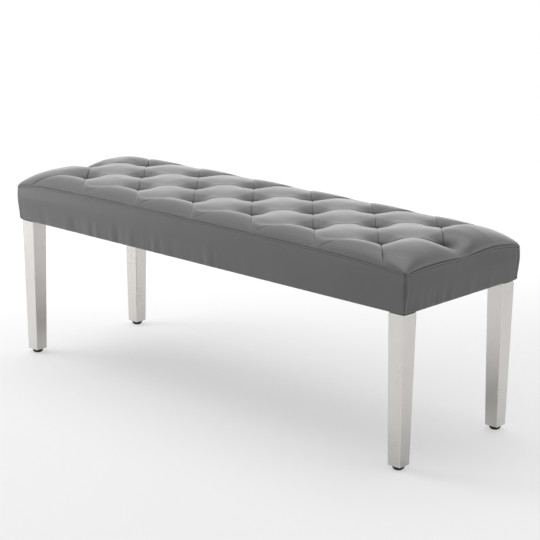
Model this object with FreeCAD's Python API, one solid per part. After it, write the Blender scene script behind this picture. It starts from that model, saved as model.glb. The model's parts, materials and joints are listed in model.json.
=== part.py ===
import FreeCAD, Part
import math
import os
from FreeCAD import Vector

# Tufted bench seat on four tapered metal legs with levelling feet.
# Millimetres. The origin is on the floor under the seat's centre, +X along the seat, front at -Y, +Z up.

# Seat outline and cover
seat_length = 1228.0
seat_depth = 400.0
cover_thickness = 1.5
side_draw_in = 4.0        # how far a side panel leans in between the deck and its bottom edge
bottom_edge_radius = 6.0
wrap_width = 16.0         # flat margin of a side panel folded under the frame
seat_gap = 0.3            # clearance between soft pieces and what they lie against
foam_gap = 0.6            # clearance under the tufted cover

# Timber frame
rail_height = 48.0
rail_thickness = 20.0
cross_rail_height = 42.0
corner_block_height = 40.0
deck_thickness = 9.0

# Tufted top, as heights above the deck
corner_seam_height = 25.0
long_seam_bow = 17.0      # the seam climbs from the corners to the middle of a long side
end_seam_bow = 7.0
tuft_height = 40.0
crown_height = 69.0
end_crown_height = 67.0
valley_rise = 16.0        # a pleat lies this much higher midway between two tufts
edge_pillow_rise = 18.0
end_valley_rise = 7.0
crown_flatness = 2.2      # larger keeps the pillows flatter on top and steeper at the tufts
edge_fullness = 0.6       # smaller makes the pillows turn down more steeply at the seam
tuft_spacing = 185.0
tuft_row_offset = 102.5
least_end_pillow = 50.0   # least room between the middle row's last tuft and the seat's end
seam_squareness = 4.0     # larger keeps the seam level further towards the corners
cover_sections = (0.0, 0.22, 0.5, 0.78, 1.0)   # where an arc is drawn across each pillow
foam_sections = (0.0, 0.5, 1.0)

# Tufting ties
tie_radius = 1.2
tie_hole_clearance = 0.4
tie_knot_radius = 2.6
tie_knot_height = 3.0
anchor_size = 16.0
anchor_thickness = 2.0
deck_tie_hole_radius = 4.0

# Underside
dust_cover_thickness = 0.6
dust_cover_inset = 17.0
staple_width = 10.0
staple_wire = 0.6
staple_leg = 8.0
staple_spacing = 100.0
cover_staple_inset = 26.0
dust_staple_inset = 21.0

# Legs
leg_length = 333.5        # from the underside of the end plate to the underside of the seat
leg_top_width = 42.0
leg_bottom_width = 33.0
leg_wall = 1.2
leg_edge_radius = 2.0
leg_inset = 8.0
plate_thickness = 3.0
plate_inset = 34.0
plate_size = 70.0
plate_corner_radius = 6.0

# Leg fasteners
bolt_radius = 4.0
bolt_length = 30.0
bolt_head_across = 13.0
bolt_head_height = 4.0
bolt_hole_clearance = 0.5
bolt_fit = 0.1
bolt_pitch = 32.0
bolt_edge_distance = 16.0
washer_radius = 8.0
washer_thickness = 1.6
insert_radius = 6.0
insert_length = 20.0
insert_fit = 0.1

# Wood screws
screw_radius = 2.0
screw_head_radius = 4.0
screw_length = 45.0
deck_screw_length = 30.0
screw_fit = 0.1
deck_screw_spacing = 340.0

# Levelling feet
foot_height = 10.0
foot_gap = 0.3            # pad to leg when the foot is screwed right in
foot_top_radius = 13.5
foot_bottom_radius = 9.0
foot_fullness = 0.75      # share of its flare that the bowl has at half its height
foot_rim = 2.5
end_plate_thickness = 2.0
stud_radius = 4.0
stud_fit = 0.1
stud_hole_clearance = 0.5
stud_head_radius = 6.0
stud_head_height = 3.0
stud_head_fit = 0.25
stud_base = 2.5           # pad thickness under the stud's head
stud_reach = 20.0         # stud standing above the end plate
foot_nut_across = 13.0
foot_nut_height = 6.5

# Levels and places worked out from the sizes above
half_length = seat_length / 2
half_depth = seat_depth / 2
leg_bottom = foot_height
seat_bottom = leg_bottom + leg_length
frame_bottom = seat_bottom + cover_thickness
deck_bottom = frame_bottom + rail_height
deck_top = deck_bottom + deck_thickness
seam_corner = deck_top + corner_seam_height
rail_inset = side_draw_in + bottom_edge_radius
block_inset = rail_inset + rail_thickness
corner_block_size = plate_inset + plate_size - block_inset
tufts_in_middle_row = int((seat_length - 2 * least_end_pillow) / tuft_spacing) + 1
cross_rail_offset = 1.25 * tuft_spacing   # a quarter of a spacing from the nearest ties
dust_cover_top = seat_bottom - staple_wire
dust_cover_bottom = dust_cover_top - dust_cover_thickness
plate_top = dust_cover_bottom
plate_bottom = plate_top - plate_thickness
bolt_far_inset = plate_inset + plate_size - bolt_edge_distance
bolt_near_inset = bolt_far_inset - bolt_pitch
bolt_hole_radius = bolt_radius + bolt_hole_clearance
CORNERS = {"front_left": (-1, -1), "front_right": (1, -1), "back_left": (-1, 1), "back_right": (1, 1)}


def box(x0, x1, y0, y1, z0, z1):
    return Part.makeBox(x1 - x0, y1 - y0, z1 - z0, Vector(x0, y0, z0))


def rod(radius, start, length, direction=Vector(0, 0, 1)):
    return Part.makeCylinder(radius, length, start, direction)


def sleeve(outer_radius, inner_radius, start, length):
    return rod(outer_radius, start, length).cut(rod(inner_radius, start, length))


def polygon_face(points):
    return Part.Face(Part.makePolygon(list(points) + [points[0]]))


def hexagon(across, z, height, x, y):
    reach = across / math.sqrt(3)
    angles = [math.radians(60 * i) for i in range(6)]
    face = polygon_face([Vector(x + reach * math.cos(a), y + reach * math.sin(a), z) for a in angles])
    return face.extrude(Vector(0, 0, height))


# The net of tufts and seam points that the top is built on

def seam_bow(place, half_span, bow):
    """Height of the seam over its corners, flat along the side and falling quickly near both ends."""
    return bow * math.sqrt(max(0.0, 1 - abs(place / half_span) ** seam_squareness))


def tuft_places(count):
    return [(i - (count - 1) / 2) * tuft_spacing for i in range(count)]


def tuft_rows():
    """Plan places of the tufts, row by row from the front."""
    middle = tuft_places(tufts_in_middle_row)
    outer = tuft_places(tufts_in_middle_row - 1)
    return [(-tuft_row_offset, outer), (0.0, middle), (tuft_row_offset, outer)]


def tuft_points(level):
    return [Vector(x, y, level) for y, places in tuft_rows() for x in places]


def seam_row(y, margin):
    """Seam points along one long side, where pleats meet the seam above each gap in the outer tuft row."""
    ends = half_length - margin
    places = [-ends] + tuft_places(tufts_in_middle_row) + [ends]
    return [Vector(x, y, seam_corner + seam_bow(x, ends, long_seam_bow)) for x in places]


def tuft_row(y, places, margin):
    """One row of tufts between its two points on the end seams."""
    ends = half_length - margin
    edge = seam_corner + seam_bow(y, half_depth, end_seam_bow)
    tufts = [Vector(x, y, deck_top + tuft_height) for x in places]
    return [Vector(-ends, y, edge)] + tufts + [Vector(ends, y, edge)]


def top_rows(margin):
    rows = [tuft_row(y, places, margin) for y, places in tuft_rows()]
    front = seam_row(-half_depth + margin, margin)
    back = seam_row(half_depth - margin, margin)
    return [front] + rows + [back]


# Pillows: each band between two rows is a chain of cells, lofted through arcs that span pleat to pleat

def lean(start, end, share, rise):
    """Point on a pleat: straight between its ends, lifted in its middle."""
    point = start + (end - start) * share
    return point + Vector(0, 0, 4 * rise * share * (1 - share))


def span_edge(left, right, crown):
    """Arc over a pillow, or a straight edge where the pillow has no height."""
    middle = (left + right) * 0.5
    if crown - middle.z < 1e-6:
        return Part.makeLine(left, right)
    return Part.Arc(left, Vector(middle.x, middle.y, crown), right).toShape()


def cell_faces(low, high, low_crown, high_crown, rises, shares, bulge):
    """Faces of one cell from its low row (a seam, or the point of a pillow) to its high row.

    low and high are (left, right) points. The crown line leaves the high row level and drops to the low row,
    or bulges between them where neither row is crowned. rises lifts the left and right pleats.
    """
    sections = []
    for share in shares:
        left = lean(low[0], high[0], share, rises[0])
        right = lean(low[1], high[1], share, rises[1])
        if (right - left).Length < 1e-6:
            sections.append(Part.Vertex(left))
            continue
        if bulge:
            crown = low_crown + (high_crown - low_crown) * share
            crown += bulge * (4 * share * (1 - share)) ** edge_fullness
        else:
            crown = high_crown - (high_crown - low_crown) * (1 - share) ** crown_flatness
        sections.append(Part.Wire([span_edge(left, right, crown)]))
    return Part.makeLoft(sections, False, True).Faces


def band_faces(outer, inner, inner_is_middle, shares):
    """Faces between an outer row and the next row towards the seat's middle."""
    crown = deck_top + crown_height
    tuft_level = deck_top + tuft_height
    end_crown = deck_top + end_crown_height
    both_pleats = (valley_rise, valley_rise)
    faces = []

    def triangle(base, point, base_crown, bulge=0.0):
        point_side = (point, point)
        faces.extend(cell_faces(point_side, base, point.z, base_crown, both_pleats, shares, bulge))

    # Pillows that stand on the row with fewer tufts and point at the row with more
    few, many = (outer, inner) if inner_is_middle else (inner, outer)
    for i in range(1, len(few) - 2):
        triangle((few[i], few[i + 1]), many[i + 1], crown)
    # Pillows that stand on the row with more points
    for i in range(1, len(many) - 2):
        base = (many[i], many[i + 1])
        if inner_is_middle:
            triangle(base, few[i], crown)
        else:
            level = (base[0].z + base[1].z) / 2
            point_side = (few[i], few[i])
            faces.extend(cell_faces(base, point_side, level, few[i].z, both_pleats, shares, edge_pillow_rise))
    # End pillows between the last pleat and the end seam
    for left, right, rises in ((0, 1, (0.0, valley_rise)), (-2, -1, (valley_rise, 0.0))):
        high = (few[left], few[right])
        low = (many[left], many[right])
        low_crown = (low[0].z + low[1].z) / 2
        if inner_is_middle:
            low_crown += end_valley_rise
        faces.extend(cell_faces(low, high, low_crown, end_crown, rises, shares, 0.0))
    return faces


def top_faces(margin, drop, shares):
    """The whole tufted surface, drawn in by margin all round and lowered by drop."""
    rows = top_rows(margin)
    faces = []
    for outer, inner, inner_is_middle in ((0, 1, False), (1, 2, True), (3, 2, True), (4, 3, False)):
        faces += band_faces(rows[outer], rows[inner], inner_is_middle, shares)
    down = Vector(0, 0, -drop)
    return [face.translated(down) for face in faces], [[point + down for point in row] for row in rows]


def edge_loop(rows):
    """Points round the seam, anticlockwise from the front left corner."""
    right_end = [row[-1] for row in rows[1:-1]]
    left_end = [row[0] for row in rows[1:-1]]
    return rows[0] + right_end + rows[-1][::-1] + left_end[::-1]


def closed_solid(faces):
    shell = Part.makeShell(faces)
    shell.sewShape()
    solid = Part.Solid(Part.Shell(shell.Faces))
    if solid.Volume < 0:
        solid.reverse()
    return solid


def make_cover_top():
    outside, rows = top_faces(0.0, 0.0, cover_sections)
    inside, rows_below = top_faces(0.0, cover_thickness, cover_sections)
    upper = edge_loop(rows)
    lower = edge_loop(rows_below)
    edges = []
    for i in range(len(upper)):
        j = (i + 1) % len(upper)
        edges.append(polygon_face([lower[i], lower[j], upper[j], upper[i]]))
    return closed_solid(outside + inside + edges)


def make_foam_pad():
    margin = cover_thickness + seat_gap
    faces, rows = top_faces(margin, cover_thickness + foam_gap, foam_sections)
    loop = edge_loop(rows)
    x = half_length - margin
    y = half_depth - margin
    corners = [Vector(sx * x, sy * y, deck_top) for sx, sy in ((-1, -1), (1, -1), (1, 1), (-1, 1))]
    above = [loop.index(point) for point in (rows[0][0], rows[0][-1], rows[-1][-1], rows[-1][0])]
    sides = []
    for number, start in enumerate(above):
        following = (number + 1) % 4
        stop = above[following] or len(loop)
        run = [loop[i % len(loop)] for i in range(start, stop + 1)]
        sides.append(polygon_face([corners[number], corners[following]] + run[::-1]))
    return closed_solid(faces + sides + [polygon_face(corners)])


# Side panels of the cover

def panel_profile(top):
    """Section of a side panel, from its top edge at the seat's outline to the margin under the frame.

    Returned as a face in the (inward, up) plane, at x = 0.
    """
    outer_radius = bottom_edge_radius
    inner_radius = bottom_edge_radius - cover_thickness
    centre = Vector(0, side_draw_in + outer_radius, seat_bottom + outer_radius)
    diagonal = math.sqrt(0.5)
    end = centre.y + wrap_width

    def arc(radius):
        side = centre + Vector(0, -radius, 0)
        middle = centre + Vector(0, -radius * diagonal, -radius * diagonal)
        under = centre + Vector(0, 0, -radius)
        return Part.Arc(side, middle, under).toShape()

    outer_top = Vector(0, 0, top)
    inner_top = Vector(0, cover_thickness, top)
    outer_fold = Vector(0, 0, deck_top)
    inner_fold = Vector(0, cover_thickness, deck_top)
    outer_arc = arc(outer_radius)
    inner_arc = arc(inner_radius)
    outer_side = centre + Vector(0, -outer_radius, 0)
    inner_side = centre + Vector(0, -inner_radius, 0)
    outer_under = centre + Vector(0, 0, -outer_radius)
    inner_under = centre + Vector(0, 0, -inner_radius)
    edges = [Part.makeLine(outer_top, outer_fold), Part.makeLine(outer_fold, outer_side), outer_arc,
             Part.makeLine(outer_under, Vector(0, end, seat_bottom)),
             Part.makeLine(Vector(0, end, seat_bottom), Vector(0, end, frame_bottom)),
             Part.makeLine(Vector(0, end, frame_bottom), inner_under), inner_arc,
             Part.makeLine(inner_side, inner_fold), Part.makeLine(inner_fold, inner_top),
             Part.makeLine(inner_top, outer_top)]
    return Part.Face(Part.Wire(Part.__sortEdges__(edges)))


def mitred_block(length, deep, height):
    """Block behind a side of this length, cut off at 45 degrees at both ends."""
    half = length / 2
    outside = [Vector(-half, 0, 0), Vector(half, 0, 0)]
    inside = [Vector(half - deep, deep, 0), Vector(deep - half, deep, 0)]
    return polygon_face(outside + inside).extrude(Vector(0, 0, height))


def on_four_sides(prefix, long_piece, end_piece):
    """Sets pieces made with their outside at y = 0 round the seat: front and back, left and right."""
    placed = {}
    for side, turn in (("front", 0), ("right", 90), ("back", 180), ("left", 270)):
        on_end = side in ("left", "right")
        piece = end_piece if on_end else long_piece
        reach = half_length if on_end else half_depth
        turned = piece.translated(Vector(0, -reach, 0))
        turned.rotate(Vector(0, 0, 0), Vector(0, 0, 1), turn)
        placed[prefix + side] = turned.Solids[0]
    return placed


def side_panel(length, seam):
    """Front panel of a seat of this length: its outside at y = 0, inward along +Y, mitred at both ends.

    seam is the list of points, as (along, height), that its top edge follows.
    """
    highest = max(height for along, height in seam)
    half = length / 2
    panel = panel_profile(highest).extrude(Vector(length, 0, 0)).translated(Vector(-half, 0, 0))
    deep = side_draw_in + bottom_edge_radius + wrap_width + cover_thickness
    lid = highest + cover_thickness
    edge = [Vector(along, -cover_thickness, height) for along, height in seam]
    over = [Vector(half, -cover_thickness, lid), Vector(-half, -cover_thickness, lid)]
    spare = polygon_face(edge + over).extrude(Vector(0, deep, 0))
    return panel.common(mitred_block(length, deep, lid)).cut(spare)


def make_side_panels():
    rows = top_rows(0.0)
    under = cover_thickness
    long_seam = [(point.x, point.z - under) for point in rows[0]]
    end_seam = [(row[-1].y, row[-1].z - under) for row in rows]
    long_panel = side_panel(seat_length, long_seam)
    end_panel = side_panel(seat_depth, end_seam)
    return on_four_sides("cover_", long_panel, end_panel)


def padding_strip(length):
    """Padding glued to a rail, filling out to the leaning side panel."""
    bottom = seat_bottom + bottom_edge_radius
    bare = cover_thickness + seat_gap
    section = polygon_face([Vector(0, side_draw_in + bare, bottom), Vector(0, rail_inset, bottom),
                            Vector(0, rail_inset, deck_top), Vector(0, bare, deck_top)])
    strip = section.extrude(Vector(length, 0, 0)).translated(Vector(-length / 2, 0, 0))
    return strip.common(mitred_block(length, rail_inset, deck_top))


def make_side_padding():
    return on_four_sides("padding_", padding_strip(seat_length), padding_strip(seat_depth))


# Timber frame, its screws and the deck

def frame_screw_places():
    """Heads of the frame screws as (point on a rail's outside, direction inwards)."""
    level = frame_bottom + rail_height / 2
    x_out = half_length - rail_inset
    y_out = half_depth - rail_inset
    along = block_inset + corner_block_size / 2
    places = []
    for sx, sy in CORNERS.values():
        places.append((Vector(sx * (half_length - along), sy * y_out, level), Vector(0, -sy, 0)))
        places.append((Vector(sx * x_out, sy * (half_depth - along), level), Vector(-sx, 0, 0)))
    for x in cross_rail_places():
        for sy in (-1, 1):
            places.append((Vector(x, sy * y_out, level), Vector(0, -sy, 0)))
    return places


def deck_screw_places():
    y = half_depth - rail_inset - rail_thickness / 2
    reach = seat_length - 2 * (block_inset + corner_block_size)
    gaps = max(1, round(reach / deck_screw_spacing))
    places = []
    for sy in (-1, 1):
        for i in range(gaps + 1):
            places.append((Vector(reach * i / gaps - reach / 2, sy * y, deck_top), Vector(0, 0, -1)))
    return places


def wood_screw(place, length, extra=0.0):
    """Countersunk screw with its head flush at the place; extra widens it into its own hole."""
    point, way = place
    head_depth = screw_head_radius - screw_radius
    head = Part.makeCone(screw_head_radius + extra, screw_radius + extra, head_depth, point, way)
    return head.fuse(rod(screw_radius + extra, point, length + extra, way)).removeSplitter()


def cross_rail_places():
    """Between the tufts, so that no tie or anchor meets a cross rail."""
    return [-cross_rail_offset, cross_rail_offset]


def make_frame():
    x_out = half_length - rail_inset
    y_out = half_depth - rail_inset
    x_in = x_out - rail_thickness
    y_in = y_out - rail_thickness
    pieces = {
        "front_rail": box(-x_out, x_out, -y_out, -y_in, frame_bottom, deck_bottom),
        "back_rail": box(-x_out, x_out, y_in, y_out, frame_bottom, deck_bottom),
        "left_end_rail": box(-x_out, -x_in, -y_in, y_in, frame_bottom, deck_bottom),
        "right_end_rail": box(x_in, x_out, -y_in, y_in, frame_bottom, deck_bottom),
        "deck_panel": box(-x_out, x_out, -y_out, y_out, deck_bottom, deck_top),
    }
    for name, x in zip(("left_cross_rail", "right_cross_rail"), cross_rail_places()):
        pieces[name] = box(x - rail_thickness / 2, x + rail_thickness / 2, -y_in, y_in,
                           deck_bottom - cross_rail_height, deck_bottom)
    for corner, (sx, sy) in CORNERS.items():
        xs = sorted((sx * x_in, sx * (x_in - corner_block_size)))
        ys = sorted((sy * y_in, sy * (y_in - corner_block_size)))
        block = box(xs[0], xs[1], ys[0], ys[1], frame_bottom, frame_bottom + corner_block_height)
        holes = bolt_rods(sx, sy, insert_radius + insert_fit, frame_bottom, bolt_depth())
        pieces["corner_block_" + corner] = block.cut(Part.makeCompound(holes))
    frame_holes = Part.makeCompound([wood_screw(p, screw_length, screw_fit) for p in frame_screw_places()])
    deck_holes = Part.makeCompound([wood_screw(p, deck_screw_length, screw_fit) for p in deck_screw_places()])
    tie_holes = [rod(deck_tie_hole_radius, p, deck_thickness) for p in tuft_points(deck_bottom)]
    for name in pieces:
        pieces[name] = pieces[name].cut(frame_holes).cut(deck_holes)
    pieces["deck_panel"] = pieces["deck_panel"].cut(Part.makeCompound(tie_holes))
    return {name: shape.Solids[0] for name, shape in pieces.items()}


def make_ties():
    """Cords that pull the cover down, each knotted under a square anchor below the deck."""
    top = deck_top + tuft_height - cover_thickness - seat_gap
    anchor_bottom = deck_bottom - anchor_thickness
    ties = []
    anchors = []
    for point in tuft_points(anchor_bottom):
        knot = rod(tie_knot_radius, point - Vector(0, 0, tie_knot_height), tie_knot_height)
        ties.append(knot.fuse(rod(tie_radius, point, top - anchor_bottom)).removeSplitter())
        corner = point - Vector(anchor_size / 2, anchor_size / 2, 0)
        plate = Part.makeBox(anchor_size, anchor_size, anchor_thickness, corner)
        anchors.append(plate.cut(rod(tie_radius + tie_hole_clearance, point, anchor_thickness)))
    return ties, anchors


# Underside

def ring_places(inset):
    """Places round the seat's underside at this inset, with the direction along the edge at each."""
    x = half_length - inset
    y = half_depth - inset
    clear = plate_inset + plate_size + staple_width
    places = []
    for reach, along, across in ((half_length - clear, Vector(1, 0, 0), Vector(0, y, 0)),
                                 (half_depth - clear, Vector(0, 1, 0), Vector(x, 0, 0))):
        count = max(2, round(2 * reach / staple_spacing) + 1)
        for i in range(count):
            offset = along * (2 * reach * i / (count - 1) - reach)
            places.append((offset + across, along))
            places.append((offset - across, along))
    return places


def staple(place, along, crown_top):
    """Flat wire staple under a surface at crown_top, its two legs driven up."""
    across = Vector(along.y, along.x, 0)
    half = along * (staple_width / 2) + across * (staple_wire / 2)
    low = place - half
    high = place + half
    crown = box(low.x, high.x, low.y, high.y, crown_top - staple_wire, crown_top)
    pieces = [crown]
    for end in (-1, 1):
        middle = place + along * (end * (staple_width - staple_wire) / 2)
        wire = staple_wire / 2
        pieces.append(box(middle.x - wire, middle.x + wire, middle.y - wire, middle.y + wire,
                          crown_top, crown_top + staple_leg))
    return pieces[0].multiFuse(pieces[1:]).removeSplitter().Solids[0]


def make_underside():
    x = half_length - dust_cover_inset
    y = half_depth - dust_cover_inset
    sheet = box(-x, x, -y, y, dust_cover_bottom, dust_cover_top)
    holes = []
    for sx, sy in CORNERS.values():
        holes += bolt_rods(sx, sy, bolt_hole_radius, dust_cover_bottom, dust_cover_thickness)
    sheet = sheet.cut(Part.makeCompound(holes)).Solids[0]
    cover_staples = [staple(place, way, seat_bottom) for place, way in ring_places(cover_staple_inset)]
    dust_staples = [staple(place, way, dust_cover_bottom) for place, way in ring_places(dust_staple_inset)]
    return sheet, cover_staples, dust_staples


# Legs and their fasteners

def bolt_places(sx, sy):
    """Three bolts at the free corners of a leg's plate."""
    near = bolt_near_inset
    far = bolt_far_inset
    insets = ((far, near), (near, far), (far, far))
    return [(sx * (half_length - a), sy * (half_depth - b)) for a, b in insets]


def bolt_rods(sx, sy, radius, bottom, height):
    return [rod(radius, Vector(x, y, bottom), height) for x, y in bolt_places(sx, sy)]


def bolt_depth():
    """How deep a corner block is drilled: the insert, or the bolt's tip where that reaches higher."""
    tip = plate_bottom - washer_thickness + bolt_length
    return max(insert_length, tip - frame_bottom + bolt_fit)


def frustum(bottom_width, top_width, bottom, top):
    """Square tapered block on the Z axis."""
    b = bottom_width / 2
    t = top_width / 2
    wedge = Part.makeWedge(-b, bottom, -b, -t, -t, b, top, b, t, t)
    wedge.rotate(Vector(0, 0, 0), Vector(1, 0, 0), 90)
    return wedge


def leg_centre(sx, sy):
    inset = leg_inset + leg_top_width / 2
    return Vector(sx * (half_length - inset), sy * (half_depth - inset), 0)


def make_leg():
    """Hollow tapered leg on the Z axis, standing on its end plate."""
    bottom = leg_bottom + end_plate_thickness
    outside = frustum(leg_bottom_width, leg_top_width, bottom, plate_bottom)
    long_edges = [e for e in outside.Edges if abs(e.Vertexes[0].Z - e.Vertexes[1].Z) > end_plate_thickness]
    outside = outside.makeFillet(leg_edge_radius, long_edges)
    inside = frustum(leg_bottom_width - 2 * leg_wall, leg_top_width - 2 * leg_wall, bottom, plate_bottom)
    return outside.cut(inside).Solids[0]


def make_end_plate():
    half = leg_bottom_width / 2
    plate = box(-half, half, -half, half, leg_bottom, leg_bottom + end_plate_thickness)
    upright = [e for e in plate.Edges if abs(e.Vertexes[0].Z - e.Vertexes[1].Z) > end_plate_thickness / 2]
    plate = plate.makeFillet(leg_edge_radius, upright)
    hole = rod(stud_radius + stud_hole_clearance, Vector(0, 0, leg_bottom), end_plate_thickness)
    return plate.cut(hole).Solids[0]


def make_mount_plate(sx, sy):
    """Bolted plate on a leg's top, stepped so that only its tab over the leg comes near the seat's edge."""
    tab = leg_inset + leg_top_width
    outer = plate_inset + plate_size

    def square(near, far):
        xs = sorted((sx * (half_length - near), sx * (half_length - far)))
        ys = sorted((sy * (half_depth - near), sy * (half_depth - far)))
        block = box(xs[0], xs[1], ys[0], ys[1], plate_bottom, plate_top)
        upright = [e for e in block.Edges if abs(e.Vertexes[0].Z - e.Vertexes[1].Z) > plate_thickness / 2]
        return block.makeFillet(min(plate_corner_radius, (far - near) / 3), upright)

    holes = bolt_rods(sx, sy, bolt_hole_radius, plate_bottom, plate_thickness)
    plate = square(plate_inset, outer).fuse(square(leg_inset, tab)).removeSplitter()
    return plate.cut(Part.makeCompound(holes)).Solids[0]


def make_leg_fasteners():
    bolts = []
    washers = []
    inserts = []
    head_top = plate_bottom - washer_thickness
    for sx, sy in CORNERS.values():
        for x, y in bolt_places(sx, sy):
            seat = Vector(x, y, head_top)
            head = hexagon(bolt_head_across, head_top - bolt_head_height, bolt_head_height, x, y)
            shank = rod(bolt_radius - bolt_fit, seat, bolt_length)
            bolts.append(head.fuse(shank).removeSplitter())
            washers.append(sleeve(washer_radius, bolt_hole_radius, seat, washer_thickness))
            inserts.append(sleeve(insert_radius, bolt_radius, Vector(x, y, frame_bottom), insert_length))
    return bolts, washers, inserts


# Levelling feet

def revolved(points):
    """Solid turned about Z from a profile of (radius, height) points."""
    face = polygon_face([Vector(r, 0, z) for r, z in points])
    return face.revolve(Vector(0, 0, 0), Vector(0, 0, 1), 360)


def make_foot_pad():
    """Bowl shaped pad that holds the stud's head captive and lets it turn."""
    top = foot_height - foot_gap
    rim = top - foot_rim
    head_floor = stud_base - stud_head_fit
    head_roof = stud_base + stud_head_height + stud_head_fit
    neck = stud_radius + stud_head_fit
    socket = stud_head_radius + stud_head_fit
    flare = foot_top_radius - foot_bottom_radius
    sweep = Vector(foot_bottom_radius + foot_fullness * flare, 0, rim / 2)
    profile = [Part.Arc(Vector(foot_bottom_radius, 0, 0), sweep, Vector(foot_top_radius, 0, rim)).toShape()]
    wall = [(foot_top_radius, rim), (foot_top_radius, top), (neck, top)]
    hollow = [(neck, head_roof), (socket, head_roof), (socket, head_floor), (0, head_floor)]
    corners = wall + hollow + [(0, 0), (foot_bottom_radius, 0)]
    for (r0, z0), (r1, z1) in zip(corners, corners[1:]):
        profile.append(Part.makeLine(Vector(r0, 0, z0), Vector(r1, 0, z1)))
    face = Part.Face(Part.Wire(Part.__sortEdges__(profile)))
    return face.revolve(Vector(0, 0, 0), Vector(0, 0, 1), 360)


def make_foot_stud():
    shank = stud_radius - stud_fit
    top = leg_bottom + end_plate_thickness + stud_reach
    head_top = stud_base + stud_head_height
    head = [(0, stud_base), (stud_head_radius, stud_base), (stud_head_radius, head_top)]
    return revolved(head + [(shank, head_top), (shank, top), (0, top)])


def make_foot_nut():
    base = leg_bottom + end_plate_thickness
    nut = hexagon(foot_nut_across, base, foot_nut_height, 0, 0)
    return nut.cut(rod(stud_radius, Vector(0, 0, base), foot_nut_height))


def build():
    nodes = {"cover_top": make_cover_top()}
    nodes.update(make_side_panels())
    nodes.update(make_side_padding())
    nodes.update(make_frame())
    ties, anchors = make_ties()
    tie_holes = [rod(tie_radius + tie_hole_clearance, p, crown_height) for p in tuft_points(deck_top)]
    nodes["foam_pad"] = make_foam_pad().cut(Part.makeCompound(tie_holes)).Solids[0]
    nodes["tuft_ties"] = Part.makeCompound(ties)
    nodes["tie_anchors"] = Part.makeCompound(anchors)
    sheet, cover_staples, dust_staples = make_underside()
    nodes["dust_cover"] = sheet
    nodes["cover_staples"] = Part.makeCompound(cover_staples)
    nodes["dust_cover_staples"] = Part.makeCompound(dust_staples)
    nodes["frame_screws"] = Part.makeCompound([wood_screw(p, screw_length) for p in frame_screw_places()])
    nodes["deck_screws"] = Part.makeCompound([wood_screw(p, deck_screw_length) for p in deck_screw_places()])
    bolts, washers, inserts = make_leg_fasteners()
    nodes["leg_bolts"] = Part.makeCompound(bolts)
    nodes["leg_washers"] = Part.makeCompound(washers)
    nodes["leg_inserts"] = Part.makeCompound(inserts)
    nuts = []
    for corner, (sx, sy) in CORNERS.items():
        centre = leg_centre(sx, sy)
        nodes["leg_" + corner] = make_leg().translated(centre)
        nodes["leg_plate_" + corner] = make_mount_plate(sx, sy)
        nodes["end_plate_" + corner] = make_end_plate().translated(centre)
        nodes["foot_pad_" + corner] = make_foot_pad().translated(centre)
        nodes["foot_stud_" + corner] = make_foot_stud().translated(centre)
        nuts.append(make_foot_nut().translated(centre))
    nodes["foot_nuts"] = Part.makeCompound(nuts)
    return nodes


os.makedirs("parts", exist_ok=True)
for node_name, node_shape in build().items():
    node_shape.exportStep("parts/" + node_name + ".step")
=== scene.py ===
import bmesh
import bpy
import json
import math
import numpy as np
from mathutils import Matrix, Vector


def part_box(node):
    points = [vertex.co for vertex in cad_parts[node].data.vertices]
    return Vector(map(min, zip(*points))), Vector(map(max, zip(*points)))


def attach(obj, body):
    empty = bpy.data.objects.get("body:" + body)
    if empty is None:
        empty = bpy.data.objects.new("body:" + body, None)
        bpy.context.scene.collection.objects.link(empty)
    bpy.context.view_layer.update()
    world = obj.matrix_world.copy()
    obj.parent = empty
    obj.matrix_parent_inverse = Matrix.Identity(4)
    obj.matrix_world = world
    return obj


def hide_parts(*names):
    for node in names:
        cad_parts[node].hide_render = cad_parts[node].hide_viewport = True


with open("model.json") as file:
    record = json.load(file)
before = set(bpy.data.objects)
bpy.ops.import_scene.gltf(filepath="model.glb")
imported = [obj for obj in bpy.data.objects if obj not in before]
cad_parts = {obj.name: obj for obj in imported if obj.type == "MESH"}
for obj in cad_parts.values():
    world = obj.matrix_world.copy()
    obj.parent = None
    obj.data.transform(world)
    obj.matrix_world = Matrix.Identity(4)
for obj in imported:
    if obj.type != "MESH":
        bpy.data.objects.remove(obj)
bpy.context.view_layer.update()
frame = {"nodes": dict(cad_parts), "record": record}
nodes = frame["nodes"]
MM = 0.001
TINY = 1e-9

# Camera, found by fitting the photo's perspective to the seat and leg corners
IMAGE_SIZE = 540
FOCAL_PIXELS = 1770.5
VIEW_AZIMUTH = math.radians(42.85)
VIEW_ELEVATION = math.radians(14.97)
VIEW_ROLL = math.radians(0.386)
VIEW_DISTANCE = 4.234
VIEW_TARGET = Vector((-0.0294, 0.0916, 0.2665))
SENSOR = 36.0
CLIP_END = 100

# Seat sizes, read from the frame
top_low, top_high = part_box("cover_top")
HALF_LENGTH = top_high.x
HALF_DEPTH = top_high.y
SEAT_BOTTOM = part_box("cover_front")[0].z
DECK_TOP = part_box("deck_panel")[1].z
RAIL_INSET = HALF_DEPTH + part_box("front_rail")[0].y
SIDES = ("front", "right", "back", "left")
LONG_SIDES = ("front", "back")
LONG_RAILS = ("front_rail", "back_rail")
CORNERS = ("front_left", "front_right", "back_left", "back_right")

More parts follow.
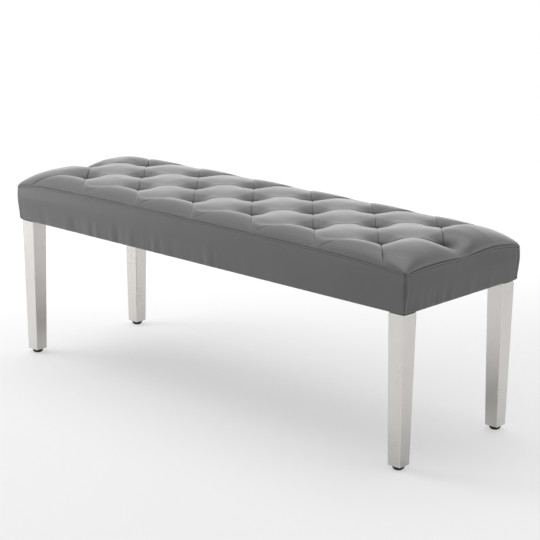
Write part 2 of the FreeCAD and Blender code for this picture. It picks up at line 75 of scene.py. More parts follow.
# Seams
SHEET = 1.5 * MM  # thickness of the leatherette
CORNER_SEAM = top_low.z + SHEET
LONG_BOW = 17 * MM  # the seam climbs this much from the corners to the middle of a long side
END_BOW = 8.5 * MM
BOW_POWER = 4  # larger makes the climb steeper at the corners
END_DIP = 4 * MM  # the middle of an end seam is drawn down this much
END_DIP_WIDTH = 0.28  # as a share of half the depth
BACK_SETTLE = 8 * MM  # the back seam has settled this much
SEAM_TUCK = 1.7 * MM  # how far both edges of a seam turn in
SEAM_FADE = 0.9 * MM
CORNER_TUCK = 3.2 * MM  # the same at the upright corner seams
CORNER_TUCK_WIDTH = 2.4 * MM
CORNER_TUCK_POWER = 1.5
CORNER_ROUND = 0.5 * MM  # wider rounding beside a corner seam
CORNER_ROUND_WIDTH = 6 * MM
CORNER_REACH = 10 * MM  # how far the corner's turn runs into the top

# Tufts and pillows
MIDDLE_TUFTS = 7
TUFT_SPACING = 185 * MM
TUFT_ROW = 102.5 * MM
PLEAT_LENGTH = math.hypot(TUFT_SPACING / 2, TUFT_ROW)
TUFT_LEVEL = DECK_TOP + 42 * MM
MIDDLE_RISE = 2 * MM  # the middle row of tufts lies this much higher
PLEAT_LIFT = 20 * MM  # a pleat lies this much higher midway between two tufts
PILLOW_LIFT = 5 * MM  # a pillow's middle over its pleats, before it swells
EDGE_PILLOW_LIFT = 2.5 * MM
CREASE = 2.8 * MM  # sharp fold along each pleat
CREASE_FADE = 5  # larger runs the fold closer to the long seams
DOME = 0.8  # smaller makes the pillows flatter on top
EDGE_DOME = 0.7
PIT_SHARPNESS = 2.2  # larger draws the pits in closer to the tufts
PIT_ROUNDNESS = 0.4  # 0 makes the pits pointed, 1 makes them round
EDGE_FALL = 2.0  # larger makes the pillows turn down more steeply at the long seams
PLEAT_STEPS = 20
PLEAT_CROWDING = 1.9  # larger gathers the mesh lines closer to the pleats

# Ends of the top
END_CROWN = TUFT_LEVEL + 27 * MM
END_ROUNDNESS = 0.65  # smaller makes the end pillows turn down more steeply at the seam
END_FALL = 3  # larger keeps them level for longer towards the end seam
SIDE_FALL = 2.2  # the same towards the long seams
END_VALLEY = 12 * MM  # depth of the fold from the middle tuft to the end seam
VALLEY_WIDTH = 16 * MM
VALLEY_WIDENING = 18 * MM  # the fold is this much wider at the seam
VALLEY_START = 25 * MM  # the fold deepens over this distance from the tuft
ROW_BLUR = 16 * MM
BLUR_START = 0.35  # share of the way to the end seam over which the blur sets in
END_STEPS = 16
END_CROWDING = 0.65  # larger gathers the mesh lines closer to the pleats and the end seam

# Swelling, wrinkles and foam
SWELL_PRESSURE = 4.0
SWELL_FRAMES = 14
SWELL_CAP = 2.5 * MM
WRINKLE_SEED = 11
WRINKLE_FOLDS = (5, 9)
WRINKLE_HEIGHTS = (0.15 * MM, 0.5 * MM)
WRINKLE_RING = 18 * MM  # radius at which the gathers round a tuft are highest
WRINKLE_WIDTH = 12 * MM
WRINKLE_SIDE = 0.7  # share of a tuft's random turn that places its gathered side
PAINTED_SHADE_REACH = 20 * MM  # how far the painted shade round a tuft reaches from it
FOAM_ROOM = 4 * MM

# Stitches
STITCH_DROP = 4.8 * MM  # line of stitches below the seam
STITCH_GROOVE = 0.18 * MM
STITCH_SINK = 0.3 * MM  # depth of the thread's middle
STITCH_LENGTH = 3.2 * MM
STITCH_PITCH = 4.2 * MM
STITCH_MARGIN = 6 * MM  # room without stitches beside a corner seam
STITCH_SIDES = 6
STITCH_FORM = ((-0.5, 0.25), (-0.36, 1), (0.36, 1), (0.5, 0.25))  # place along a stitch and width there
THREAD = 0.45 * MM  # radius

# Side panels
DRAW_IN = 4 * MM  # how far the panels lean in towards the bottom
LEAN_START = 0.25  # share of the wall where the lean sets in
PANEL_SWELL = 1.5 * MM
SWELL_SKEW = 0.8  # below 1 the panel is fullest above its middle
BOTTOM_ROUND = RAIL_INSET - DRAW_IN
WRAP = 16 * MM  # margin under the frame
WALL_STEPS = 18
ROUND_STEPS = 7
WRAP_STEPS = 3
CORNER_STRIP = 14 * MM  # width of the strip stitched down beside a corner seam
STRIP_GROOVE = 0.8 * MM
STRIP_GROOVE_WIDTH = 1.2 * MM
PANEL_STEP = 5 * MM
CORNER_STEPS = np.array((0, 0.8, 1.6, 2.6, 4, 6, 9)) * MM  # mesh lines beside a corner seam
STRIP_STEPS = np.array((-2.5, -1, 0, 1, 2.5, 5)) * MM  # mesh lines round a strip's edge

# The panel's top edge, as inset and drop: it turns in at the seam and has a groove for the stitches
SEAM_ROLL = ((SEAM_TUCK, 0.0), (0.6 * MM, 0.15 * MM), (0.1 * MM, 0.7 * MM), (0.0, 2 * MM),
             (0.0, STITCH_DROP - 0.7 * MM), (STITCH_GROOVE, STITCH_DROP), (0.0, STITCH_DROP + 0.8 * MM))

# Pull marks on the panels
PANEL_SEEDS = {"front": 3, "back": 5, "left": 8, "right": 13}
LONG_PULLS = 110
END_PULLS = 30
PULL_WIDTHS = (3 * MM, 9 * MM)
PULL_DEPTH = 2 * MM
PULL_CAP = 1.8 * MM  # limit where marks meet
PULL_MIDDLE = -0.6  # place of the strongest marks, as a share of half the panel's length
PULL_SPREAD = 0.4  # as a share of the panel's length
PULL_START = 0.35  # share of the wall where the marks set in
PULL_GROWTH = 0.6  # share of the wall over which they grow

# Padding strips
WADDING_ROOM = 2.5 * MM
WADDING_LEAN_START = 0.1
WADDING_WALL_STEPS = 8
WADDING_STEP = 20 * MM

# Dust cloth
DUST_SEED = 21
DUST_WAVES = 5
DUST_WAVE_RATES = (10, 26)  # radians for each metre
DUST_WAVE_TURNS = (0, 6)
DUST_SAG = 3 * MM
DUST_RIPPLE = 1.5 * MM
DUST_FLATNESS = 0.7  # smaller brings the sag closer to the staples
DUST_COLUMNS = 96
DUST_ROWS = 32

# Screw feet
HEAD_HEIGHT = 3 * MM
HEAD_CHAMFER = 0.4 * MM
HEAD_CENTRE = 0.3 * MM  # radius of the face in the middle of the head
THREAD_CREST = 3.9 * MM
THREAD_PITCH = 1.25 * MM
THREAD_DEPTH = 0.6 * MM
THREAD_STEPS = 6  # mesh lines for each turn
TIP_LENGTH = 1.5 * MM
TIP_TAPER = 0.5 * MM
STUD_SIDES = 24

# Floor, as the camera, the metal and all else see it
FLOOR_HALF = 20.0
FLOOR_HOLE = 8.8 * MM  # just inside a foot's flat face; a foot screwed out shows through
FLOOR_SEEN = 0.38
FLOOR_MIRRORED = 0.88
FLOOR_BOUNCE = 0.53
GLOW_NEAR = 0.485
GLOW_FAR = 0.665
GLOW_START = 0.1  # distance behind the middle of the bench where the glow starts to grow
GLOW_END = 1.4

# Studio walls, by the height of a ray's direction
SHINE_LOW = 2.1
SHINE_HIGH = 0.45
SHINE_START = 0.1
SHINE_END = 0.9
SOFT_LOW = 0.5
SOFT_HIGH = 0.4


# Small tools

def smooth(value):
    """Eased step from 0 to 1."""
    value = np.clip(value, 0.0, 1.0)
    return value * value * (3 - 2 * value)


def bell(gap, width):
    """1 where the gap is 0, fading out over the width."""
    return np.exp(-(gap / width) ** 2)


def bow(share):
    """Arch from 0 to 1 and back to 0."""
    return 4 * share * (1 - share)


def half_span(side):
    """Half the length of one side of the seat."""
    return HALF_LENGTH if side in LONG_SIDES else HALF_DEPTH


def new_object(name, points, faces, body="bench"):
    """Piece made from points and faces, riding on a body."""
    mesh = bpy.data.meshes.new(name)
    mesh.from_pydata([tuple(p) for p in points], [], [tuple(int(i) for i in f) for f in faces])
    mesh.update()
    mesh.shade_smooth()
    thing = bpy.data.objects.new(name, mesh)
    bpy.context.scene.collection.objects.link(thing)
    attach(thing, body)
    return thing


def dress(thing, material):
    thing.data.materials.clear()
    thing.data.materials.append(material)


def finish_piece(thing, material, slot, *replaced):
    """Gives a piece its material, and hides the nodes that it replaces."""
    dress(thing, material)
    if replaced:
        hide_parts(*replaced)


def grid_faces(rows, columns, closed=False):
    """Faces between rows of points; closed joins the last column to the first."""
    faces = []
    for r in range(rows - 1):
        for c in range(columns if closed else columns - 1):
            k = r * columns
            n = (c + 1) % columns
            faces.append((k + c, k + n, k + columns + n, k + columns + c))
    return faces


def end_caps(rows, columns):
    """Faces that close the first and the last row of a closed grid."""
    last = (rows - 1) * columns
    return [tuple(range(columns))[::-1], tuple(range(last, last + columns))]


def bake_modifiers(thing):
    """Replaces a piece's mesh by what its modifiers make of it."""
    depsgraph = bpy.context.evaluated_depsgraph_get()
    mesh = bpy.data.meshes.new_from_object(thing.evaluated_get(depsgraph))
    thing.modifiers.clear()
    thing.data = mesh
    mesh.shade_smooth()


def thicken(thing, thickness):
    """Gives a surface its thickness, inwards."""
    body = thing.modifiers.new("sheet", "SOLIDIFY")
    body.thickness = thickness
    body.offset = -1
    bake_modifiers(thing)


def get_points(thing):
    flat = np.empty(len(thing.data.vertices) * 3, np.float32)
    thing.data.vertices.foreach_get("co", flat)
    return flat.reshape(-1, 3).astype(float)


def set_points(thing, points):
    thing.data.vertices.foreach_set("co", np.asarray(points, np.float32).ravel())
    thing.data.update()


# Seam lines

def long_seam(x):
    """Height of the seam along a long side."""
    share = np.clip(np.abs(x) / HALF_LENGTH, 0, 1)
    return CORNER_SEAM + LONG_BOW * np.sqrt(1 - share ** BOW_POWER)


def end_seam(y):
    """Height of the seam along an end."""
    share = np.clip(np.abs(y) / HALF_DEPTH, 0, 1)
    return CORNER_SEAM + END_BOW * np.sqrt(1 - share ** BOW_POWER) - END_DIP * bell(share, END_DIP_WIDTH)


def settle(y):
    """How much lower the top lies between the back row of tufts and the back seam."""
    return BACK_SETTLE * np.clip((y - TUFT_ROW) / (HALF_DEPTH - TUFT_ROW), 0, 1)


def seam_height(side, along):
    """Height of the top seam along one side's panel."""
    if side in LONG_SIDES:
        return long_seam(along) - (BACK_SETTLE if side == "back" else 0)
    y = along if side == "right" else -along
    return end_seam(y) - settle(y)


def corner_inset(distance):
    """How far a face falls back as it nears a corner seam."""
    tuck = CORNER_TUCK * np.exp(-(np.abs(distance) / CORNER_TUCK_WIDTH) ** CORNER_TUCK_POWER)
    return tuck + CORNER_ROUND * np.clip(1 - distance / CORNER_ROUND_WIDTH, 0, 1) ** 2


# Tufted top

def pit(share, at_seam=False):
    """1 at one end of a pleat, falling to 0 midway; a pit at a tuft, a straighter slope at the seam."""
    left = max(0.0, 1 - 2 * share)
    if at_seam:
        return left ** EDGE_FALL
    pointed = left ** PIT_SHARPNESS
    rounded = math.sin(math.pi / 2 * left) ** 2
    return pointed + (rounded - pointed) * PIT_ROUNDNESS


class TopMesh:
    """Points and faces of the tufted top, with mesh lines that follow the pleats.

    Places are counted along the two pleat directions, a and b. Every whole (a, b) is a tuft or a seam point.
    Steps i and j count the mesh lines along a and b.
    """

    def __init__(self):
        self.points = []
        self.faces = []
        self.index = {}
        self.held = set()
        steps = np.linspace(-1, 1, PLEAT_STEPS + 1)
        self.share = 0.5 + 0.5 * np.sign(steps) * (1 - (1 - np.abs(steps)) ** PLEAT_CROWDING)

    def place(self, step):
        """Place of a mesh line along a pleat direction."""
        whole, part = divmod(step, PLEAT_STEPS)
        return whole + self.share[part]

    def plan(self, i, j):
        """Place of a step in plan."""
        a = self.place(i)
        b = self.place(j)
        across = a - b
        y = min(abs(across), 1) * TUFT_ROW + max(abs(across) - 1, 0) * (HALF_DEPTH - TUFT_ROW)
        return TUFT_SPACING * (a + b) / 2, math.copysign(y, across)

    def on_long_seam(self, i, j):
        """Whether a step lies on the front or the back seam."""
        return abs(i - j) == 2 * PLEAT_STEPS

    def corner_height(self, i, j):
        """Height of a pillow's corner, at a tuft or on the long seam."""
        if self.on_long_seam(i, j):
            return float(long_seam(self.plan(i, j)[0]))
        return TUFT_LEVEL + (MIDDLE_RISE if i == j else 0)

    def add(self, i, j, height, held):
        """Point at a step, shared by the pillows that meet there; held points keep their place."""
        if (i, j) not in self.index:
            x, y = self.plan(i, j)
            if self.on_long_seam(i, j):
                height = float(long_seam(x))
                held = True
            elif held:
                height -= CREASE * min(1, CREASE_FADE * (2 - abs(self.place(i) - self.place(j))))
            self.index[i, j] = len(self.points)
            self.points.append((x, y, height))
        if held:
            self.held.add(self.index[i, j])
        return self.index[i, j]

    def diamond(self, a, b):
        """A whole pillow between four tufts or seam points."""
        n = PLEAT_STEPS
        corners = [(i, j, self.corner_height((a + i) * n, (b + j) * n)) for i in (0, 1) for j in (0, 1)]
        ids = np.zeros((n + 1, n + 1), int)
        for i in range(n + 1):
            for j in range(n + 1):
                p = self.share[i]
                q = self.share[j]
                height = PLEAT_LIFT + PILLOW_LIFT * (bow(p) * bow(q)) ** DOME
                for end_p, end_q, corner in corners:
                    from_p = abs(p - end_p)
                    from_q = abs(q - end_q)
                    at_seam = abs(a + end_p - b - end_q) == 2
                    height += (1 - from_p) * (1 - from_q) * corner
                    height -= PLEAT_LIFT * pit(from_p, at_seam) * pit(from_q, at_seam)
                ids[i, j] = self.add(a * n + i, b * n + j, height, i in (0, n) or j in (0, n))
        for i in range(n):
            for j in range(n):
                self.faces.append((ids[i, j], ids[i + 1, j], ids[i + 1, j + 1], ids[i, j + 1]))

    def half_diamond(self, a, b, front):
        """A pillow between one tuft and the seam."""
        n = PLEAT_STEPS
        ids = {}
        for i in range(n + 1):
            for j in range(n + 1):
                beyond_seam = j > i if front else i > j
                if beyond_seam:
                    continue
                p, q = (self.share[i], self.share[j]) if front else (self.share[j], self.share[i])
                tuft = p - q
                x = self.plan(a * n + i, b * n + j)[0]
                height = (1 - tuft) * float(long_seam(x)) + tuft * TUFT_LEVEL
                height += PLEAT_LIFT * (1 - pit(tuft, True) - pit(1 - tuft))
                along = q / (1 - tuft) if tuft < 1 else 0.5
                height += EDGE_PILLOW_LIFT * math.sqrt(max(0.0, bow(along))) * bow(tuft) ** EDGE_DOME
                on_pleat = p > 1 - TINY or q < TINY
                ids[i, j] = self.add(a * n + i, b * n + j, height, on_pleat)
        for i in range(n):
            for j in range(n):
                square = [(i, j), (i + 1, j), (i + 1, j + 1), (i, j + 1)]
                corners = [ids[c] for c in square if c in ids]
                if len(corners) >= 3:
                    self.faces.append(tuple(corners))

    def end_path(self, side):
        """Steps along the last zigzag of pleats, from the front seam to the back seam."""
        n = PLEAT_STEPS
        last = (MIDDLE_TUFTS - 1) // 2
        path = [((last - 1) * n, (last + 1) * n - k) for k in range(n)]
        path += [((last - 1) * n + k, last * n) for k in range(n)]
        path += [(last * n, last * n - k) for k in range(n)]
        path += [(last * n + k, (last - 1) * n) for k in range(n + 1)]
        return path if side > 0 else [(-j, -i) for i, j in path]

    def end_falls(self, path, share):
        """Fall of the end surface into the last pleats, for each row and each share of the way out."""
        places = np.array([self.plan(i, j) for i, j in path])
        falls = np.zeros((len(path), len(share)))
        for r, (x, y) in enumerate(places):
            at_seam = r in (0, len(path) - 1)
            start = self.points[self.index[path[r]]][2] + (0 if at_seam else CREASE)
            lack = end_surface(x, y) - end_pits(x, y) - start
            for k, u in enumerate(share):
                falls[r, k] = end_dip(lack, u * (HALF_LENGTH - abs(x)), y, u)
        return ease_rows(falls, places[:, 1], share)

    def end_patch(self, side):
        """Corner pillows between the last zigzag of pleats and the end seam."""
        steps = np.arange(END_STEPS + 1) / END_STEPS
        share = (1 - END_CROWDING) * steps + END_CROWDING * (0.5 - 0.5 * np.cos(math.pi * steps))
        path = self.end_path(side)
        falls = self.end_falls(path, share)
        rows = []
        for r, step in enumerate(path):
            x_start, y = self.plan(*step)
            at_seam = r in (0, len(path) - 1)
            row = [self.index[step]]
            for k in range(1, END_STEPS + 1):
                x = x_start + (side * HALF_LENGTH - x_start) * share[k]
                height = float(long_seam(x)) if at_seam else end_surface(x, y) - end_pits(x, y) - falls[r, k]
                if at_seam or k == END_STEPS:
                    self.held.add(len(self.points))
                row.append(len(self.points))
                self.points.append((x, y, height))
            rows.append(row)
        for low, high in zip(rows, rows[1:]):
            for k in range(END_STEPS):
                quad = (low[k], low[k + 1], high[k + 1], high[k])
                self.faces.append(quad if side > 0 else quad[::-1])

    def build(self):
        """All the pillows, as points and faces."""
        last = (MIDDLE_TUFTS - 1) // 2
        for a in range(-last, last):
            self.diamond(a, a)
        for a in range(-last, last - 1):
            self.diamond(a, a + 1)
            self.diamond(a + 1, a)
        for a in range(-last - 1, last - 1):
            self.half_diamond(a, a + 2, True)
            self.half_diamond(a + 2, a, False)
        self.end_patch(1)
        self.end_patch(-1)
        return np.array(self.points), self.faces


def end_surface(x, y):
    """Smooth end of the top, that rounds down to the seams beyond the last tufts of the outer rows."""
    last = (MIDDLE_TUFTS / 2 - 1) * TUFT_SPACING
    beyond_x = max(0.0, (abs(x) - last) / (HALF_LENGTH - last))
    beyond_y = max(0.0, (abs(y) - TUFT_ROW) / (HALF_DEPTH - TUFT_ROW))
    round_end = max(0.0, 1 - beyond_x ** END_FALL) ** END_ROUNDNESS
    round_side = max(0.0, 1 - beyond_y ** SIDE_FALL) ** END_ROUNDNESS
    base = float(long_seam(x) + end_seam(y)) - CORNER_SEAM
    return base + (END_CROWN - base) * round_end * round_side


def end_pits(x, y):
    """Depth of the round pits that the last three tufts leave in an end."""
    last = (MIDDLE_TUFTS - 1) / 2
    tufts = ((last, 0), (last - 0.5, TUFT_ROW))
    gaps = [math.hypot(abs(x) - k * TUFT_SPACING, abs(y) - row) for k, row in tufts]
    return PLEAT_LIFT * sum(pit(gap / PLEAT_LENGTH) for gap in gaps)


def end_dip(lack, distance, y, u):
    """Fall of the end surface into the last pleats, and the soft valley from the middle tuft to the seam."""
    near = max(0.0, 1 - 2 * distance / PLEAT_LENGTH)
    crease = min(lack, PILLOW_LIFT)
    fall = crease * (1 - math.sqrt(1 - near ** 2)) + (lack - crease) * float(smooth(near))
    deep = END_VALLEY * float(smooth(distance / VALLEY_START)) * math.sqrt(1 - u)
    return fall + deep * bell(y, VALLEY_WIDTH + VALLEY_WIDENING * u)


def ease_rows(falls, y, share):
    """Blurs the fall into the pleats across the rows, more and more away from the pleats."""
    weight = bell(y[:, None] - y[None, :], ROW_BLUR) * np.gradient(y)
    weight /= weight.sum(axis=1, keepdims=True)
    return falls + (weight @ falls - falls) * smooth(share / BLUR_START)


def tuft_list():
    """Places of the tufts: the front, middle and back rows."""
    middle = [(k - (MIDDLE_TUFTS - 1) / 2) * TUFT_SPACING for k in range(MIDDLE_TUFTS)]
    outer = [(k - (MIDDLE_TUFTS - 2) / 2) * TUFT_SPACING for k in range(MIDDLE_TUFTS - 1)]
    return [(x, -TUFT_ROW) for x in outer] + [(x, 0.0) for x in middle] + [(x, TUFT_ROW) for x in outer]


def add_cloth(thing, held):
    """Cloth that air pressure swells between the held points."""
    group = thing.vertex_groups.new(name="held")
    group.add([int(i) for i in held], 1.0, "REPLACE")
    cloth = thing.modifiers.new("swell", "CLOTH")
    settings = cloth.settings
    settings.quality = 6
    settings.mass = 0.25
    settings.tension_stiffness = 25
    settings.compression_stiffness = 25
    settings.shear_stiffness = 12
    settings.bending_stiffness = 1.5
    settings.air_damping = 6
    settings.use_pressure = True
    settings.uniform_pressure_force = SWELL_PRESSURE
    settings.vertex_group_mass = group.name
    settings.effector_weights.gravity = 0
    cloth.point_cache.frame_start = 1
    cloth.point_cache.frame_end = SWELL_FRAMES


def inflate(thing, held):
    """Cloth run that swells a piece between its held points; no point moves further than the cap."""
    add_cloth(thing, held)
    start = get_points(thing)
    scene = bpy.context.scene
    for number in range(1, SWELL_FRAMES + 1):
        scene.frame_set(number)
    bake_modifiers(thing)
    scene.frame_set(1)
    moved = get_points(thing) - start
    length = np.linalg.norm(moved, axis=1, keepdims=True)
    capped = SWELL_CAP * np.tanh(length / SWELL_CAP)
    set_points(thing, start + moved * capped / np.maximum(length, TINY))


def tuft_wrinkles(points):
    """Short gathers that run out from each tuft."""
    rng = np.random.default_rng(WRINKLE_SEED)
    lift = np.zeros(len(points))
    for x, y in tuft_list():
        dx = points[:, 0] - x
        dy = points[:, 1] - y
        angle = np.arctan2(dy, dx)
        folds = rng.integers(*WRINKLE_FOLDS)
        turn = rng.uniform(0, 2 * math.pi)
        height = rng.uniform(*WRINKLE_HEIGHTS)
        ring = bell(np.hypot(dx, dy) - WRINKLE_RING, WRINKLE_WIDTH)
        one_side = np.maximum(0, np.sin(angle + turn * WRINKLE_SIDE))
        lift += height * ring * np.sin(folds * angle + turn) * one_side
    return lift


def mark_hollow_shade(thing):
    """Stores on each point how deep it lies in the hollows round a tuft, for the painted shade and the
    rougher finish that the material gives there.
    """
    points = get_points(thing)
    depth = np.zeros(len(points))
    for x, y in tuft_list():
        depth += bell(np.hypot(points[:, 0] - x, points[:, 1] - y), PAINTED_SHADE_REACH)
    thing.data.attributes.new("hollow_shade_mask", "FLOAT", "POINT").data.foreach_set("value", depth)


def tuck_edges(points):
    """Turns the top's edge in at the seam, and its corners further."""
    x_gap = HALF_LENGTH - np.abs(points[:, 0])
    y_gap = HALF_DEPTH - np.abs(points[:, 1])
    x_in = SEAM_TUCK * np.exp(-x_gap / SEAM_FADE) + corner_inset(y_gap) * np.exp(-x_gap / CORNER_REACH)
    y_in = SEAM_TUCK * np.exp(-y_gap / SEAM_FADE) + corner_inset(x_gap) * np.exp(-y_gap / CORNER_REACH)
    points[:, 0] -= np.sign(points[:, 0]) * x_in
    points[:, 1] -= np.sign(points[:, 1]) * y_in
    return points


def make_top(material):
    """Tufted top; returns its surface before the edges are tucked, for the foam."""
    builder = TopMesh()
    points, faces = builder.build()
    top = new_object("tufted_top", points, faces)
    inflate(top, builder.held)
    points = get_points(top)
    points[:, 2] += tuft_wrinkles(points) - settle(points[:, 1])
    foam_points = points.copy()
    set_points(top, tuck_edges(points))
    rounder = top.modifiers.new("rounder", "SUBSURF")
    rounder.levels = 1
    rounder.render_levels = 1
    bake_modifiers(top)
    thicken(top, SHEET)
    # Stores where the material paints shade into the hollows round the tufts.
    mark_hollow_shade(top)
    finish_piece(top, material, "leatherette", "cover_top")
    return foam_points, faces


def make_foam(points, faces, material):
    """Foam pad under the top, closed down to the deck."""
    points[:, 0] *= 1 - FOAM_ROOM / HALF_LENGTH
    points[:, 1] *= 1 - FOAM_ROOM / HALF_DEPTH
    points[:, 2] -= FOAM_ROOM
    foam = new_object("foam_core", points, faces)
    work = bmesh.new()
    work.from_mesh(foam.data)
    edge = [e for e in work.edges if e.is_boundary]
    made = bmesh.ops.extrude_edge_only(work, edges=edge)
    for part in made["geom"]:
        if isinstance(part, bmesh.types.BMVert):
            part.co.z = DECK_TOP
    bmesh.ops.holes_fill(work, edges=[e for e in work.edges if e.is_boundary])
    bmesh.ops.recalc_face_normals(work, faces=work.faces)
    work.to_mesh(foam.data)
    work.free()
    finish_piece(foam, material, "padding", "foam_pad")


# Side panels

def lean_in(share, start):
    """How far a wall leans in at a share of the way down, when the lean sets in at the start."""
    return DRAW_IN * float(smooth((share - start) / (1 - start)))


def pull_marks(seed, half, count):
    """Random shallow pulls along a panel's bottom edge, as (place, half width, depth)."""
    rng = np.random.default_rng(seed)
    marks = []
    for _ in range(count):
        place = rng.uniform(-half, half)
        width = rng.uniform(*PULL_WIDTHS)
        depth = rng.uniform(-PULL_DEPTH, PULL_DEPTH)
        weight = bell(place - PULL_MIDDLE * half, PULL_SPREAD * 2 * half)
        marks.append((place, width, depth * weight))
    return marks


def panel_section(top):
    """Section of a panel from its seam down, as (inset, height, share of the pull marks).

    top is the seam's height at each place along the panel.
    """
    rows = [(inset, top - drop, 0.0) for inset, drop in SEAM_ROLL]
    wall_top = rows[-1][1]
    wall_bottom = SEAT_BOTTOM + BOTTOM_ROUND
    for k in range(1, WALL_STEPS + 1):
        share = k / WALL_STEPS
        height = wall_top + (wall_bottom - wall_top) * share
        swell = PANEL_SWELL * math.sin(math.pi * share ** SWELL_SKEW)
        pulled = float(smooth((share - PULL_START) / PULL_GROWTH))
        rows.append((lean_in(share, LEAN_START) - swell, height, pulled))
    for k in range(1, ROUND_STEPS + 1):
        angle = k / ROUND_STEPS * math.pi / 2
        inset = DRAW_IN + BOTTOM_ROUND * (1 - math.cos(angle))
        height = SEAT_BOTTOM + BOTTOM_ROUND * (1 - math.sin(angle))
        rows.append((inset, np.full_like(top, height), math.cos(angle)))
    for k in range(1, WRAP_STEPS + 1):
        rows.append((RAIL_INSET + WRAP * k / WRAP_STEPS, np.full_like(top, SEAT_BOTTOM), 0.0))
    return rows


def places_along(half):
    """Places along a panel, close together at both corner seams."""
    near_end = np.concatenate([CORNER_STEPS, CORNER_STRIP + STRIP_STEPS]) - half
    count = int(2 * half / PANEL_STEP)
    inner = np.linspace(near_end[-1], -near_end[-1], count)[1:-1]
    return np.concatenate([near_end, inner, -near_end[::-1]])


def panel_points(side, marks):
    """Points of a panel that faces -Y with its outside at y = 0, and the counts of its rows and columns."""
    half = half_span(side)
    along = places_along(half)
    gap = half - np.abs(along)
    pull = sum(depth * bell(along - place, width) for place, width, depth in marks)
    pull = PULL_CAP * np.tanh(pull / PULL_CAP)
    fold_back = corner_inset(gap)
    if side not in LONG_SIDES:
        fold_back = fold_back + STRIP_GROOVE * bell(gap - CORNER_STRIP, STRIP_GROOVE_WIDTH)
    rows = []
    for inset, height, share in panel_section(seam_height(side, along)):
        deep = inset + fold_back + pull * share
        reach = half - np.maximum(deep, 0)
        x = np.sign(along) * np.minimum(np.abs(along), reach)
        rows.append(np.stack([x, deep, height], axis=1))
    return np.concatenate(rows), len(rows), len(along)


def face_side(points, side):
    """Turns points made for a front at y = 0 to one side of the seat."""
    points = points.copy()
    points[:, 1] -= HALF_DEPTH if side in LONG_SIDES else HALF_LENGTH
    for _ in range(SIDES.index(side)):
        points[:, 0], points[:, 1] = -points[:, 1].copy(), points[:, 0].copy()
    return points


def make_panel(side, seed, material):
    """Side panel, sewn to the top and wrapped under the frame."""
    half = half_span(side)
    marks = pull_marks(seed, half, LONG_PULLS if side in LONG_SIDES else END_PULLS)
    points, rows, columns = panel_points(side, marks)
    faces = [face[::-1] for face in grid_faces(rows, columns)]
    panel = new_object("panel_" + side, face_side(points, side), faces)
    thicken(panel, SHEET)
    finish_piece(panel, material, "leatherette", "cover_" + side)


def make_wadding(side, material):
    """Padding strip between a rail and its side panel."""
    half = half_span(side)
    bottom = SEAT_BOTTOM + BOTTOM_ROUND
    section = []
    for k in range(WADDING_WALL_STEPS + 1):
        share = k / WADDING_WALL_STEPS
        inset = WADDING_ROOM + lean_in(share, WADDING_LEAN_START)
        section.append((inset, DECK_TOP + (bottom - DECK_TOP) * share))
    section.append((RAIL_INSET - WADDING_ROOM, bottom))
    section.append((RAIL_INSET, bottom + WADDING_ROOM))
    section.append((RAIL_INSET, DECK_TOP))
    rows = int(2 * half / WADDING_STEP) + 1
    points = []
    for step in np.linspace(-1, 1, rows):
        points += [(step * (half - inset), inset, height) for inset, height in section]
    faces = grid_faces(rows, len(section), closed=True) + end_caps(rows, len(section))
    strip = new_object("wadding_" + side, face_side(np.array(points), side), faces)
    finish_piece(strip, material, "padding", "padding_" + side)


# Stitches

def one_stitch(centre, way):
    """Points and faces of one stitch lying along way."""
    way = way / np.linalg.norm(way)
    across = np.cross(way, (0, 0, 1))
    across /= np.linalg.norm(across)
    up = np.cross(across, way)
    points = []
    for reach, width in STITCH_FORM:
        for k in range(STITCH_SIDES):
            angle = 2 * math.pi * k / STITCH_SIDES
            ring = across * math.cos(angle) + up * math.sin(angle)
            points.append(centre + way * (reach * STITCH_LENGTH) + ring * (THREAD * width))
    rows = len(STITCH_FORM)
    faces = grid_faces(rows, STITCH_SIDES, closed=True) + end_caps(rows, STITCH_SIDES)
    return points, [face[::-1] for face in faces]


def make_stitches(material):
    """Line of stitches below the top seam, all round."""
    points = []
    faces = []
    for side in SIDES:
        run = half_span(side) - STITCH_MARGIN
        along = np.linspace(-run, run, int(2 * run / STITCH_PITCH))
        height = seam_height(side, along) - STITCH_DROP
        line = face_side(np.stack([along, np.full_like(along, STITCH_SINK), height], axis=1), side)
        for start, end in zip(line, line[1:]):
            more, patch = one_stitch((start + end) / 2, end - start)
            faces += [tuple(i + len(points) for i in face) for face in patch]
            points += more
    stitches = new_object("topstitching", points, faces)
    finish_piece(stitches, material, "leatherette")


# Underside and feet

def make_dust_cloth(material):
    """Thin cloth under the seat, with a slight sag between its staples."""
    low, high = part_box("dust_cover")
    width = high.x - low.x
    depth = high.y - low.y
    rng = np.random.default_rng(DUST_SEED)
    wave_ranges = (DUST_WAVE_RATES, DUST_WAVE_RATES, DUST_WAVE_TURNS)
    waves = [[rng.uniform(*limits) for limits in wave_ranges] for _ in range(DUST_WAVES)]
    points = []
    for r in range(DUST_ROWS + 1):
        for c in range(DUST_COLUMNS + 1):
            x = low.x + width * c / DUST_COLUMNS
            y = low.y + depth * r / DUST_ROWS
            inside = (bow(c / DUST_COLUMNS) * bow(r / DUST_ROWS)) ** DUST_FLATNESS
            ripple = sum(math.sin(kx * x + ky * y + turn) for kx, ky, turn in waves) / DUST_WAVES
            points.append((x, y, high.z - inside * (DUST_SAG + DUST_RIPPLE * ripple)))
    cloth = new_object("dust_cloth", points, grid_faces(DUST_ROWS + 1, DUST_COLUMNS + 1))
    thicken(cloth, high.z - low.z)
    finish_piece(cloth, material, "dust_cloth", "dust_cover")


